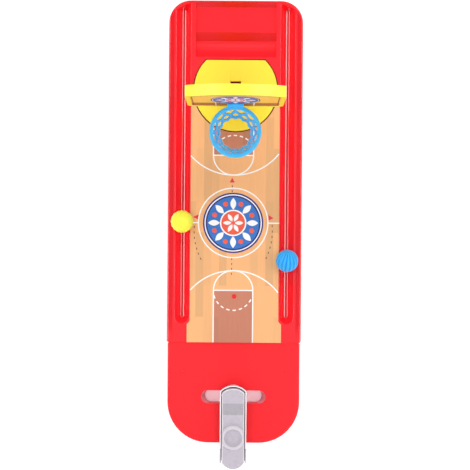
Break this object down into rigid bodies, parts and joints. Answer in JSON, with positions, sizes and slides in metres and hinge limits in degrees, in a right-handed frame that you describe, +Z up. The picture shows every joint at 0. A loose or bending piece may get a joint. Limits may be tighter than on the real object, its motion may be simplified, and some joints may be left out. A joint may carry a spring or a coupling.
{
  "type": "tabletop basketball game",
  "caption": "Tabletop basketball game: a sliding, swivelling sprung lever flings small balls at a hoop on a backboard, over a tray with ball gutters.",
  "frame": {"origin": "centre of the bounding box's footprint, on the table", "axes": "+Z up, +Y from the player towards the hoop, +X to the player's right"},
  "size_m": [0.1178, 0.4084, 0.134],
  "materials": {
    "red_plastic": "semi-gloss moulded",
    "yellow_plastic": "semi-gloss moulded",
    "blue_plastic": "semi-gloss moulded",
    "grey_plastic": "satin moulded",
    "court_print": "printed sheet, satin",
    "card_print": "printed card, satin",
    "steel": "zinc plated",
    "ball_yellow": "pebbled",
    "ball_blue": "pebbled"
  },
  "bodies": {
    "base": {"rear_tray": "red_plastic", "front_panel": "red_plastic", "court_sheet": "court_print", "hoop_foot": "yellow_plastic", "hoop_post": "yellow_plastic", "backboard_frame": "yellow_plastic", "backboard_card": "card_print", "hoop_net": "blue_plastic"},
    "carriage": {"slide_carriage": "grey_plastic", "carriage_retainer": "grey_plastic", "retainer_screw": "steel", "swivel_washer": "steel", "swivel_screw": "steel"},
    "launcher": {"launcher_channel": "grey_plastic", "lever_pin": "steel", "lever_spring": "steel"},
    "lever": {"launcher_lever": "grey_plastic"},
    "yellow_ball": {"ball_yellow": "ball_yellow"},
    "blue_ball": {"ball_blue": "ball_blue"}
  },
  "joints": [
    {"name": "carriage_slide", "type": "slide", "parent": "base", "child": "carriage", "axis": [1, 0, 0], "range_m": [-0.017, 0.017]},
    {"name": "launcher_swivel", "type": "hinge", "parent": "carriage", "child": "launcher", "pos_m": [0, -0.1446, 0.0186], "axis": [0, 0, 1], "range_deg": [-25, 25]},
    {"name": "lever_press", "type": "hinge", "parent": "launcher", "child": "lever", "pos_m": [0, -0.1401, 0.031], "axis": [1, 0, 0], "range_deg": [0, 8], "stiffness_Nm_per_rad": 0.12, "springref_deg": -20.05, "deforming": ["lever_spring"]},
    {"name": "yellow_ball_roll", "type": "slide", "parent": "base", "child": "yellow_ball", "axis": [0, 1, 0], "range_m": [-0.0828, 0.1765]},
    {"name": "blue_ball_roll", "type": "slide", "parent": "base", "child": "blue_ball", "axis": [0, 1, 0], "range_m": [-0.0492, 0.21]}
  ]
}
